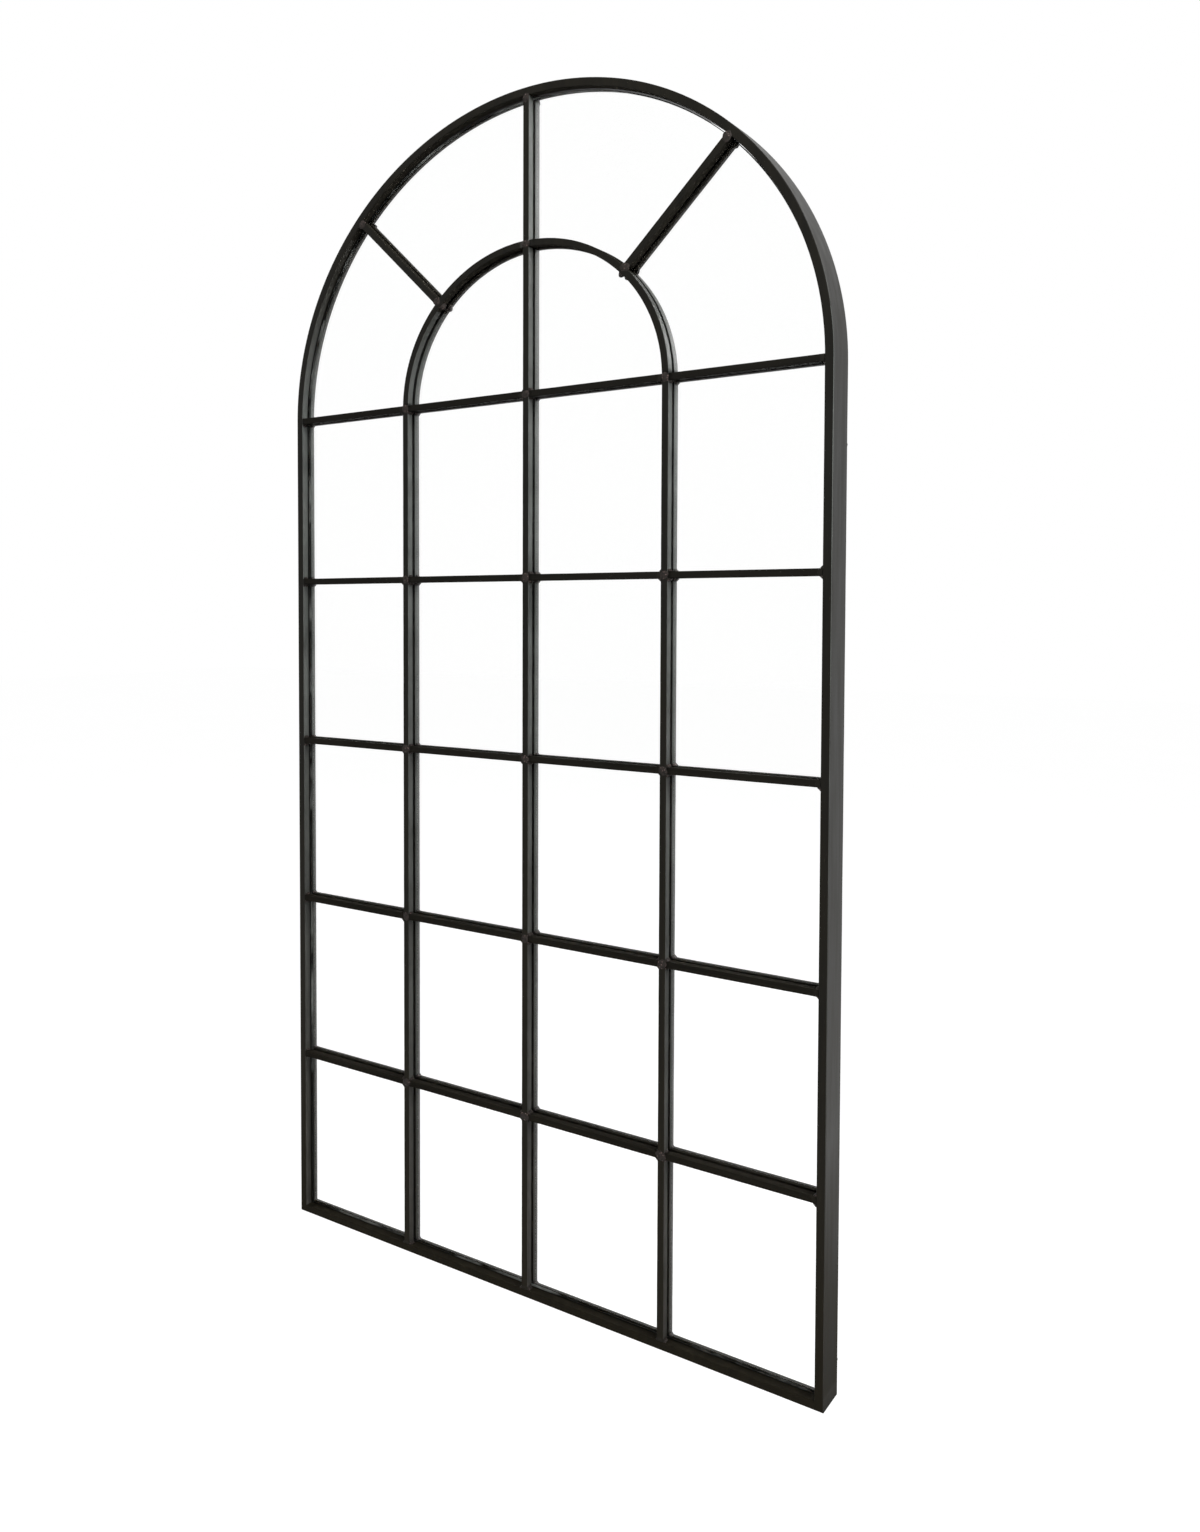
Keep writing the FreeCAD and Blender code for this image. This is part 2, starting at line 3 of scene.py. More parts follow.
import bmesh
import bpy
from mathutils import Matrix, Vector


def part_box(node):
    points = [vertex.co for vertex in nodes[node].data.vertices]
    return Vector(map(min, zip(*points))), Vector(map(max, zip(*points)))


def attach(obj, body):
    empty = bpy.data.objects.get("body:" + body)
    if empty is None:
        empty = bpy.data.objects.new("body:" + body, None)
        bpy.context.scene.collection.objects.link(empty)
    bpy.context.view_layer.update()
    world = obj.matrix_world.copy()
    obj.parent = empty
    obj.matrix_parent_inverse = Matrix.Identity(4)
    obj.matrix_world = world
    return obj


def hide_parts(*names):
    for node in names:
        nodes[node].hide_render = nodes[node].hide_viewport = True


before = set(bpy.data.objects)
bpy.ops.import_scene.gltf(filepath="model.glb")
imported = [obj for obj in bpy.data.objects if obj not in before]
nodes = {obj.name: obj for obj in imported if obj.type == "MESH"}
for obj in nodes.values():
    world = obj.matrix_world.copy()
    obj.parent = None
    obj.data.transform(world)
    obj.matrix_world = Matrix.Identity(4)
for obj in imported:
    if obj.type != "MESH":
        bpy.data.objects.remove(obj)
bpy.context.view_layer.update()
scene = bpy.context.scene

# --- places and sizes, taken from the nodes --------------------------------------------------------

stile_low, stile_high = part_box("right_stile")
rail_low, rail_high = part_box("bottom_rail")
bar_low, bar_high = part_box("right_bar")
glass_low, glass_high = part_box("mirror_glass")
weld_low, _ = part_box("arch_welds")

HALF, INNER = stile_high.x, stile_low.x
FACE = HALF - INNER
FRONT, BACK = stile_low.y, stile_high.y
BOTTOM, FLOOR, SPRING = rail_low.z, rail_high.z, stile_high.z
BAR = bar_high.x - bar_low.x
EDGE = BAR / 2
BAR_BACK = bar_high.y
BAR_DEPTH = BAR_BACK - FRONT
BAR_MIDDLE = (FRONT + BAR_BACK) / 2
COLUMN = (bar_low.x + bar_high.x) / 2
ROW_BOXES = [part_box(f"crossbar_{row}_left_inner") for row in range(1, 6)]
ROWS = [(low.z + high.z) / 2 for low, high in ROW_BOXES]
QUARTER = math.pi / 2
SPOKE = math.pi / 4
SEAM = 0.0001

# --- materials -------------------------------------------------------------------------------------


class Material:
    """A node material, put together one node at a time."""

    def __init__(self, name):
        self.material = bpy.data.materials.new(name)
        self.material.use_nodes = True
        self.tree = self.material.node_tree
        self.tree.nodes.clear()
        self.output = self.add("ShaderNodeOutputMaterial")

    def add(self, kind, **values):
        node = self.tree.nodes.new(kind)
        for name, value in values.items():
            setattr(node, name, value)
        return node

    def feed(self, target, value):
        """Links a socket, or sets a plain value."""
        if isinstance(value, bpy.types.NodeSocket):
            self.tree.links.new(value, target)
        elif isinstance(value, tuple) and len(target.default_value) == 4:
            target.default_value = (*value, 1)
        else:
            target.default_value = value

    def surface(self, **values):
        shader = self.add("ShaderNodeBsdfPrincipled")
        for name, value in values.items():
            self.feed(shader.inputs[name.replace("_", " ")], value)
        self.feed(self.output.inputs["Surface"], shader.outputs[0])
        return shader

    def place(self, scale=(1.0, 1.0, 1.0)):
        mapping = self.add("ShaderNodeMapping")
        self.feed(mapping.inputs["Scale"], scale)
        self.feed(mapping.inputs["Vector"], self.add("ShaderNodeTexCoord").outputs["Object"])
        return mapping.outputs[0]

    def noise(self, size, detail=4.0, roughness=0.55, scale=(1.0, 1.0, 1.0)):
        """Cloudy noise whose lumps are about this size in metres."""
        node = self.add("ShaderNodeTexNoise")
        for name, value in (("Scale", 1 / size), ("Detail", detail), ("Roughness", roughness)):
            self.feed(node.inputs[name], value)
        self.feed(node.inputs["Vector"], self.place(scale))
        return node.outputs["Fac"]

    def specks(self, size):
        """Distance from the middle of scattered cells, from 0 to about 1."""
        node = self.add("ShaderNodeTexVoronoi")
        self.feed(node.inputs["Scale"], 1 / size)
        self.feed(node.inputs["Vector"], self.place())
        return node.outputs["Distance"]

    def spread(self, value, low, high, start=0.3, end=0.7):
        node = self.add("ShaderNodeMapRange")
        stops = (("Value", value), ("From Min", start), ("From Max", end), ("To Min", low), ("To Max", high))
        for name, number in stops:
            self.feed(node.inputs[name], number)
        return node.outputs["Result"]

    def mix(self, factor, first, second):
        node = self.add("ShaderNodeMix", data_type="RGBA")
        for i, value in ((0, factor), (6, first), (7, second)):
            self.feed(node.inputs[i], value)
        return node.outputs[2]

    def bump(self, shader, height, strength, distance):
        node = self.add("ShaderNodeBump")
        for name, value in (("Strength", strength), ("Distance", distance), ("Height", height)):
            self.feed(node.inputs[name], value)
        self.feed(shader.inputs["Normal"], node.outputs[0])

    def above(self, level):
        """How far above the level the point is, in metres, and less than 0 below it."""
        split = self.add("ShaderNodeSeparateXYZ")
        self.feed(split.inputs[0], self.place())
        return self.sum(split.outputs[2], -level)

    def height(self, level):
        """How far above or below the level the point is, in metres."""
        size = self.add("ShaderNodeMath", operation="ABSOLUTE")
        self.feed(size.inputs[0], self.above(level))
        return size.outputs[0]

    def sum(self, first, second):
        node = self.add("ShaderNodeMath", operation="ADD")
        self.feed(node.inputs[0], first)
        self.feed(node.inputs[1], second)
        return node.outputs[0]


SHOULDER = SPRING - 0.12

# Each paint has two cool tones, seen most at shoulder height, and two warm ones for above and below.
# In the lit side tones this is painted light: the light cool pair is brightest at shoulder height, and
# the darker warm pair stands for the light falling off above and below.
BLACK_TONES = (
    (0.0035, 0.0038, 0.0034),
    (0.0085, 0.0090, 0.0082),
    (0.0070, 0.0056, 0.0026),
    (0.0190, 0.0155, 0.0088),
)
CROSS_TONES = (
    (0.0095, 0.0093, 0.0083),
    (0.0165, 0.0160, 0.0143),
    (0.0105, 0.0093, 0.0066),
    (0.0300, 0.0262, 0.0192),
)
# Painted light: a much lighter copy of the black paint, for the sides that catch the lamps.
LIT_SIDE_TONES = (
    (0.100, 0.1080, 0.102),
    (0.230, 0.2460, 0.234),
    (0.027, 0.0255, 0.022),
    (0.092, 0.0870, 0.077),
)
# Painted shade: a copy darker than the lit side tones, for the sloping sides that face away from the lamps.
SHADE_TONES = (
    (0.020, 0.0185, 0.0150),
    (0.034, 0.0310, 0.0255),
    (0.018, 0.0160, 0.0120),
    (0.036, 0.0320, 0.0250),
)
# The middle of the painted shade tones, which the arch's lit side paint darkens to above the springing line.
SHADED = (0.027, 0.025, 0.020)
CHIPPED = (0.05, 0.042, 0.034)


def satin_paint(name, grain, tones=BLACK_TONES, dull_height=1.3, roughness=(0.42, 0.62), ior=1.22, fade=0):
    """Black paint with broad clouds, faint brown streaks along the grain and fine orange peel.

    It is browner the further it is from shoulder height, and duller below the dull height. With the lit side
    tones the browner, darker tone away from shoulder height is painted light falling off. With a fade, it
    turns to the shaded tone over that height above the springing line, as painted shade.
    """
    m = Material(name)
    shader = m.surface(IOR=ior)
    broad = m.noise(0.07)
    streak = m.noise(0.012, 6.0, 0.6, grain)
    fine = m.noise(0.0011, 3.0, 0.6)
    cool = m.mix(m.spread(broad, 0.0, 1.0), tones[0], tones[1])
    warm = m.mix(m.spread(streak, 0.0, 1.0), tones[2], tones[3])
    # With the lit side tones this height mix is painted light: brightest at shoulder height, darker above
    # and below.
    colour = m.mix(m.spread(m.height(SHOULDER), 0.3, 1.0, 0.0, 1.2), cool, warm)
    if fade:
        # Painted shade: darkens to the shaded tone above the springing line.
        colour = m.mix(m.spread(m.above(SPRING), 0.0, 1.0, 0.0, fade), colour, SHADED)
    chips = m.spread(m.specks(0.011), 1.0, 0.0, 0.0, 0.035)
    m.feed(shader.inputs["Base Color"], m.mix(chips, colour, CHIPPED))
    dull = m.spread(m.height(BOTTOM), roughness[1], roughness[0], 0.0, dull_height)
    m.feed(shader.inputs["Roughness"], m.sum(dull, m.spread(streak, -0.05, 0.07)))
    m.bump(shader, fine, 0.08, 0.0002)
    return m.material


def weld_paint():
    """Rough weld under thin paint, brown-grey with light and pinkish specks."""
    m = Material("weld paint")
    shader = m.surface(IOR=1.25)
    clouds = m.noise(0.004, 5.0, 0.65)
    grit = m.noise(0.0009, 4.0, 0.7)
    base = m.mix(m.spread(clouds, 0.0, 1.0), (0.010, 0.009, 0.008), (0.060, 0.048, 0.042))
    pink = m.mix(m.spread(m.specks(0.0035), 1.0, 0.0, 0.1, 0.25), base, (0.30, 0.20, 0.185))
    m.feed(shader.inputs["Base Color"], pink)
    m.feed(shader.inputs["Roughness"], m.spread(grit, 0.35, 0.7))
    m.bump(shader, grit, 0.7, 0.0005)
    return m.material


def glass():
    m = Material("mirror glass")
    shader = m.surface(IOR=1.52, Transmission_Weight=1.0)
    haze = m.noise(0.4, 2.0)
    tint = m.mix(m.spread(haze, 0.0, 1.0), (0.995, 0.999, 0.997), (0.999, 1.0, 0.999))
    m.feed(shader.inputs["Base Color"], tint)
    m.feed(shader.inputs["Roughness"], m.spread(haze, 0.0, 0.0004))
    return m.material


def ground():
    """The glass's ground arris and rim."""
    m = Material("ground glass")
    shader = m.surface(IOR=1.15)
    grit = m.noise(0.0012, 4.0, 0.65)
    streaks = m.spread(m.noise(0.09, 3.0, 0.5), 0.0, 1.0, 0.46, 0.72)
    m.feed(shader.inputs["Base Color"], m.mix(streaks, (0.012, 0.014, 0.013), (0.42, 0.44, 0.42)))
    m.feed(shader.inputs["Roughness"], m.spread(grit, 0.6, 0.8))
    m.bump(shader, grit, 0.1, 0.0002)
    return m.material


def silver():
    m = Material("silvering")
    shader = m.surface(Metallic=1.0)
    haze = m.noise(0.3, 2.0)
    m.feed(shader.inputs["Base Color"], m.mix(haze, (0.997, 0.997, 0.996), (1.0, 1.0, 1.0)))
    m.feed(shader.inputs["Roughness"], m.spread(haze, 0.0, 0.0006))
    return m.material


def hardboard():
    """Pressed brown fibre board: smooth, with short fibres and a few darker stains."""
    m = Material("hardboard")
    shader = m.surface(IOR=1.4)
    fibres = m.noise(0.0015, 6.0, 0.7, (1.0, 1.0, 0.35))
    stains = m.spread(m.noise(0.12, 4.0, 0.6), 0.0, 0.5, 0.5, 0.8)
    brown = m.mix(m.spread(fibres, 0.0, 1.0), (0.23, 0.135, 0.07), (0.36, 0.235, 0.135))
    m.feed(shader.inputs["Base Color"], m.mix(stains, brown, (0.17, 0.10, 0.055)))
    m.feed(shader.inputs["Roughness"], m.spread(fibres, 0.55, 0.75))
    m.bump(shader, fibres, 0.35, 0.0004)
    return m.material


def zinc(name, size):
    """Plated steel with the spangle's patches and a few dull marks."""
    m = Material(name)
    shader = m.surface(Metallic=1.0)
    patches = m.specks(size)
    marks = m.noise(0.003, 5.0, 0.65)
    grey = m.mix(m.spread(patches, 0.0, 1.0, 0.1, 0.8), (0.52, 0.53, 0.55), (0.66, 0.67, 0.68))
    marked = m.mix(m.spread(marks, 0.0, 0.6, 0.55, 0.8), grey, (0.30, 0.29, 0.27))
    m.feed(shader.inputs["Base Color"], marked)
    m.feed(shader.inputs["Roughness"], m.spread(marks, 0.26, 0.5))
    m.bump(shader, marks, 0.2, 0.0002)
    return m.material


def rubber():
    m = Material("rubber")
    shader = m.surface(IOR=1.5)
    dust = m.noise(0.002, 5.0, 0.65)
    grey = m.mix(m.spread(dust, 0.0, 1.0), (0.012, 0.012, 0.012), (0.045, 0.044, 0.042))
    m.feed(shader.inputs["Base Color"], grey)
    m.feed(shader.inputs["Roughness"], m.spread(dust, 0.65, 0.9))
    m.bump(shader, dust, 0.4, 0.0003)
    return m.material


ALONG_X, ALONG_Z = (0.06, 1.0, 1.0), (1.0, 1.0, 0.06)
frame_paint = satin_paint("frame paint", (1.0, 1.0, 0.08), dull_height=0.35, roughness=(0.40, 0.8))
# Lit and shaded copies of the black paint: painted light on the sides that face the lamps, painted shade on
# those that face away.
painted_light_side_paint = satin_paint("inner side paint", ALONG_Z, LIT_SIDE_TONES)
arch_light_and_shade_paint = satin_paint("arch inner side paint", ALONG_Z, LIT_SIDE_TONES, fade=0.24)
shade_paint = satin_paint("shaded side paint", ALONG_Z, SHADE_TONES, 0.35, (0.75, 0.8), 1.06)
upright_paint = satin_paint("upright paint", ALONG_Z)
cross_paint = satin_paint("crossbar paint", ALONG_X, CROSS_TONES, 1.3, (0.62, 0.75), 1.12)
plate_paint = satin_paint("plate paint", (1.0, 0.3, 0.3))
weld = weld_paint()
mirror_glass = glass()
ground_glass = ground()
silvering = silver()
board = hardboard()
clip_steel = zinc("clip zinc", 0.004)
screw_steel = zinc("screw zinc", 0.0015)
pad_rubber = rubber()

# --- pieces ----------------------------------------------------------------------------------------


def show(name, mesh):
    piece = bpy.data.objects.new(name, mesh)
    scene.collection.objects.link(piece)
    return piece


def remove(piece):
    mesh = piece.data
    bpy.data.objects.remove(piece)
    bpy.data.meshes.remove(mesh)


def settle(piece):
    """Turns the piece's modifiers into plain mesh."""
    evaluated = piece.evaluated_get(bpy.context.evaluated_depsgraph_get())
    mesh = bpy.data.meshes.new_from_object(evaluated)
    old = piece.data
    piece.modifiers.clear()
    piece.data = mesh
    mesh.name = piece.name
    bpy.data.meshes.remove(old)


def smooth(piece):
    """Smooth shading that keeps the broad faces flat."""
    piece.data.polygons.foreach_set("use_smooth", [True] * len(piece.data.polygons))
    modifier = piece.modifiers.new("normals", "WEIGHTED_NORMAL")
    modifier.weight = 100
    settle(piece)


def finish_piece(piece, materials, slot, *replaced):
    """Gives the piece its materials, keeping which face has which, and its place in the model."""
    mesh = piece.data
    chosen = [face.material_index for face in mesh.polygons]
    mesh.materials.clear()
    for material in materials:
        mesh.materials.append(material)
    mesh.polygons.foreach_set("material_index", chosen)
    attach(piece, "root")
    if replaced:
        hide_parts(*replaced)


def points_mesh(name, points, edges=(), faces=()):
    mesh = bpy.data.meshes.new(name)
    mesh.from_pydata([tuple(point) for point in points], list(edges), list(faces))
    return mesh


def outwards(mesh):
    shell = bmesh.new()
    shell.from_mesh(mesh)
    bmesh.ops.recalc_face_normals(shell, faces=shell.faces)
    shell.to_mesh(mesh)
    shell.free()


# --- geometry nodes --------------------------------------------------------------------------------


class Group:
    """A Geometry Nodes group that takes geometry, named values and a material, and gives geometry."""

    def __init__(self, name, inputs):
        self.tree = bpy.data.node_groups.new(name, "GeometryNodeTree")
        self.names = {}
        self.tree.interface.new_socket("Geometry", in_out="INPUT", socket_type="NodeSocketGeometry")
        for label, kind in (*inputs, ("Material", "Material")):
            item = self.tree.interface.new_socket(label, in_out="INPUT", socket_type="NodeSocket" + kind)
            self.names[label] = item.identifier
        self.tree.interface.new_socket("Geometry", in_out="OUTPUT", socket_type="NodeSocketGeometry")
        self.given = self.add("NodeGroupInput").outputs
        self.end = self.add("NodeGroupOutput").inputs[0]

    def add(self, kind, links=(), **values):
        node = self.tree.nodes.new(kind)
        for name, value in values.items():
            setattr(node, name, value)
        for name, value in links:
            if isinstance(value, bpy.types.NodeSocket):
                self.tree.links.new(value, node.inputs[name])
            else:
                node.inputs[name].default_value = value
        return node

    def roughened(self, geometry, size, amount):
        """Moves the surface in by up to the amount, more or less from place to place."""
        scale = self.add("ShaderNodeMath", ((0, 1.0), (1, size)), operation="DIVIDE")
        clouds = self.add("ShaderNodeTexNoise", (("Scale", scale.outputs[0]), ("Detail", 2.0)))
        depth = self.add("ShaderNodeMath", ((0, clouds.outputs[0]), (1, amount)), operation="MULTIPLY")
        inward = self.add("ShaderNodeMath", ((0, depth.outputs[0]), (1, -1.0)), operation="MULTIPLY")
        normal = self.add("GeometryNodeInputNormal")
        offset = self.add(
            "ShaderNodeVectorMath", ((0, normal.outputs[0]), ("Scale", inward.outputs[0])), operation="SCALE"
        )
        moved = self.add("GeometryNodeSetPosition", (("Geometry", geometry), ("Offset", offset.outputs[0])))
        return moved.outputs[0]

    def close(self, geometry):
        whole = self.add("GeometryNodeRealizeInstances", ((0, geometry),)).outputs[0]
        coat = (("Geometry", whole), ("Material", self.given["Material"]))
        self.tree.links.new(self.add("GeometryNodeSetMaterial", coat).outputs[0], self.end)

    def apply(self, piece, **values):
        modifier = piece.modifiers.new("shape", "NODES")
        modifier.node_group = self.tree
        for label, value in values.items():
            modifier[self.names[label.replace("_", " ")]] = value
        settle(piece)


def bar_group():
    """Solid bar drawn along every path of the mesh, with rounded edges and slightly uneven faces."""
    group = Group(
        "drawn bar",
        (
            ("Width", "Float"),
            ("Depth", "Float"),
            ("Rounding", "Float"),
            ("Step", "Float"),
            ("Lump size", "Float"),
            ("Unevenness", "Float"),
        ),
    )
    given = group.given
    path = group.add("GeometryNodeMeshToCurve", ((0, given["Geometry"]),)).outputs[0]
    step = ((0, path), ("Length", given["Step"]))
    even = group.add("GeometryNodeResampleCurve", step, mode="LENGTH").outputs[0]
    upright = group.add("GeometryNodeSetCurveNormal", ((0, even), ("Normal", (0.0, 1.0, 0.0))), mode="FREE")
    size = (("Width", given["Depth"]), ("Height", given["Width"]))
    outline = group.add("GeometryNodeCurvePrimitiveQuadrilateral", size).outputs[0]
    arc = ((0, outline), ("Count", 3), ("Radius", given["Rounding"]))
    rounded = group.add("GeometryNodeFilletCurve", arc, mode="POLY").outputs[0]
    sweep = ((0, upright.outputs[0]), (1, rounded), ("Fill Caps", True))
    solid = group.add("GeometryNodeCurveToMesh", sweep).outputs[0]
    group.close(group.roughened(solid, given["Lump size"], given["Unevenness"]))
    return group


def copies_group():
    """Copies of one shape at every point, each with its own turn, size and roughness."""
    group = Group(
        "placed copies",
        (
            ("Shape", "Object"),
            ("Seed", "Int"),
            ("Smallest", "Float"),
            ("Largest", "Float"),
            ("Lump size", "Float"),
            ("Roughness", "Float"),
        ),
    )
    given = group.given
    shape = group.add("GeometryNodeObjectInfo", (("Object", given["Shape"]),))
    turn = group.add("GeometryNodeInputNamedAttribute", (("Name", "turn"),), data_type="FLOAT_VECTOR")
    ends = ((2, given["Smallest"]), (3, given["Largest"]), (8, given["Seed"]))
    size = group.add("FunctionNodeRandomValue", ends, data_type="FLOAT")
    placed = group.add(
        "GeometryNodeInstanceOnPoints",
        (
            ("Points", given["Geometry"]),
            ("Instance", shape.outputs["Geometry"]),
            ("Rotation", turn.outputs[0]),
            ("Scale", size.outputs[1]),
        ),
    )
    whole = group.add("GeometryNodeRealizeInstances", ((0, placed.outputs[0]),))
    group.close(group.roughened(whole.outputs[0], given["Lump size"], given["Roughness"]))
    return group


drawn_bar = bar_group()
placed_copies = copies_group()

# --- bars ------------------------------------------------------------------------------------------


def pick_painted_light_and_shade(mesh):
    """Chooses the material of each face in front of the glass.

    The second is a lighter copy with painted light, for what catches the light: the sides that look left or
    right across the panes, and the rounded front edges on the outside of the stiles, where it is a painted
    highlight. The third is a darker copy with painted shade, for the sloping sides inside the arch, which
    face away from the light.
    """
    middle = INNER + FACE / 2
    for face in mesh.polygons:
        across, depth = abs(face.normal.x), face.normal.y
        x, y, z = face.center
        if abs(x) >= middle:
            # The rounded front outer edges of the stiles get the lit paint as a painted highlight.
            face.material_index = int(across > 0.35 and depth < -0.35)
        elif y >= BAR_BACK + SEAM:
            continue
        elif across > 0.75:
            face.material_index = 1
        elif abs(depth) < 0.5 and z > SPRING and math.hypot(x, z - SPRING) < middle:
            face.material_index = 2


def bar_piece(name, paths, materials, slot, *replaced):
    points, edges = [], []
    for path in paths:
        first = len(points)
        points += [(x, BAR_MIDDLE, z) for x, z in path]
        edges += [(first + i, first + i + 1) for i in range(len(path) - 1)]
    piece = show(name, points_mesh(name, points, edges))
    drawn_bar.apply(
        piece,
        Width=BAR,
        Depth=BAR_DEPTH,
        Rounding=0.0009,
        Step=0.007,
        Lump_size=0.03,
        Unevenness=0.00035,
        Material=materials[0],
    )
    smooth(piece)
    if len(materials) > 1:
        pick_painted_light_and_shade(piece.data)
    finish_piece(piece, materials, slot, *replaced)


def on_circle(radius, turn):
    """A point on a circle about the middle of the springing line."""
    return radius * math.cos(turn), SPRING + radius * math.sin(turn)


def around(radius, start, stop, steps=24):
    return [on_circle(radius, start + (stop - start) * i / steps) for i in range(steps + 1)]


upright_paths = [
    [(0.0, FLOOR), (0.0, SPRING + INNER)],
    [(-COLUMN, FLOOR), (-COLUMN, SPRING + EDGE)],
    [(COLUMN, FLOOR), (COLUMN, SPRING + EDGE)],
]
upright_paints = (upright_paint, painted_light_side_paint, shade_paint)
bar_piece("uprights", upright_paths, upright_paints, "bar_paint", "centre_bar", "left_bar", "right_bar")

fields = {
    "left_outer": (-INNER, -COLUMN - EDGE),
    "left_inner": (-COLUMN + EDGE, -EDGE),
    "right_inner": (EDGE, COLUMN - EDGE),
    "right_outer": (COLUMN + EDGE, INNER),
}
cross_names = [f"crossbar_{row}_{field}" for row in range(1, 6) for field in fields]
cross_paths = [[(left, middle), (right, middle)] for middle in ROWS for left, right in fields.values()]
bar_piece("crossbars", cross_paths, (cross_paint,), "bar_paint", *cross_names)

arch_end = math.asin(EDGE / COLUMN)
arch_right = around(COLUMN, arch_end, QUARTER - arch_end)
arch_left = [(-x, z) for x, z in arch_right]
arch_names = ("inner_arch_left", "inner_arch_right")
arch_paints = (upright_paint, arch_light_and_shade_paint, shade_paint)
bar_piece("inner_arch", [arch_left, arch_right], arch_paints, "bar_paint", *arch_names)

spoke_right = [on_circle(reach, SPOKE) for reach in (COLUMN + EDGE, INNER)]
spoke_left = [(-x, z) for x, z in spoke_right]
spoke_names = ("spoke_left", "spoke_right")
bar_piece("spokes", [spoke_left, spoke_right], arch_paints, "bar_paint", *spoke_names)

# --- frame -----------------------------------------------------------------------------------------


def frame_path(steps=110, rail_steps=72):
    """Places along the inner side of the frame, clockwise from the lower left corner.

    Each has its x and z, the way outwards, and how much longer that way is across a mitre.
    """
    mitre = math.sqrt(2)
    rise = SPRING - FLOOR
    path = [(-INNER, FLOOR, -1 / mitre, -1 / mitre, mitre)]
    path += [(-INNER, FLOOR + rise * i / steps, -1.0, 0.0, 1.0) for i in range(1, steps)]
    for i in range(steps + 1):
        turn = math.pi * (1 - i / steps)
        x, z = math.cos(turn), math.sin(turn)
        path.append((INNER * x, SPRING + INNER * z, x, z, 1.0))
    path += [(INNER, FLOOR + rise * i / steps, 1.0, 0.0, 1.0) for i in range(steps - 1, 0, -1)]
    path.append((INNER, FLOOR, 1 / mitre, -1 / mitre, mitre))
    path += [(INNER - 2 * INNER * i / rail_steps, FLOOR, 0.0, -1.0, 1.0) for i in range(1, rail_steps)]
    return path


def tube_outline(rounding=0.0014, steps=4):
    """The tube's section as distances outwards and depths, going round its four corners.

    One more point divides the inner side where the glass begins.
    """
    middles = (
        (FACE - rounding, FRONT + rounding, -QUARTER),
        (FACE - rounding, BACK - rounding, 0.0),
        (rounding, BACK - rounding, QUARTER),
        (rounding, FRONT + rounding, 2 * QUARTER),
    )
    outline = []
    for out, deep, first in middles:
        for i in range(steps + 1):
            turn = first + QUARTER * i / steps
            outline.append((out + rounding * math.cos(turn), deep + rounding * math.sin(turn)))
    outline.insert(3 * (steps + 1), (0.0, BAR_BACK))
    return outline


def frame_mesh():
    outline = tube_outline()
    count = len(outline)
    points, faces = [], []
    path = frame_path()
    for step, (x, z, out_x, out_z, longer) in enumerate(path):
        for out, deep in outline:
            points.append((x + out_x * out * longer, deep, z + out_z * out * longer))
        here, there = step * count, (step + 1) % len(path) * count
        for i in range(count):
            j = (i + 1) % count
            faces.append((here + i, here + j, there + j, there + i))
    mesh = points_mesh("frame", points, (), faces)
    outwards(mesh)
    return mesh


def uneven_group():
    """Faces that wander a little, as on drawn tube."""
    group = Group("uneven faces", (("Lump size", "Float"), ("Unevenness", "Float")))
    given = group.given
    group.close(group.roughened(given["Geometry"], given["Lump size"], given["Unevenness"]))
    return group


uneven_faces = uneven_group()
tube = show("frame_tube", frame_mesh())
uneven_faces.apply(tube, Lump_size=0.08, Unevenness=0.0003, Material=frame_paint)
smooth(tube)
pick_painted_light_and_shade(tube.data)
tube_nodes = ("left_stile", "right_stile", "bottom_rail", "arch_head")
finish_piece(tube, (frame_paint, arch_light_and_shade_paint, shade_paint), "frame_paint", *tube_nodes)

# --- welds -----------------------------------------------------------------------------------------


def lump_mesh(radius, rise, rings=6, sides=18, root=0.0008):
    """A mound that swells towards -y from the plane y = 0, uneven round its rim, with a root behind it."""
    points = [(0.0, -rise, 0.0)]
    for ring in range(1, rings + 1):
        share = ring / rings
        for i in range(sides):
            turn = math.tau * i / sides
            reach = radius * share * (1 + 0.10 * math.sin(2 * turn + 0.6) + 0.05 * math.sin(5 * turn))
            points.append((reach * math.cos(turn), -rise * (1 - share**2.4), reach * math.sin(turn)))
    points += [(x * 0.9, root, z * 0.9) for x, _, z in points[-sides:]]
    faces = [(0, 1 + i, 1 + (i + 1) % sides) for i in range(sides)]
    for ring in range(rings):
        low, high = 1 + ring * sides, 1 + (ring + 1) * sides
        for i in range(sides):
            j = (i + 1) % sides
            faces.append((low + i, high + i, high + j, low + j))
    faces.append(tuple(1 + rings * sides + i for i in range(sides)))
    mesh = points_mesh("lump", points, (), faces)
    outwards(mesh)
    return mesh


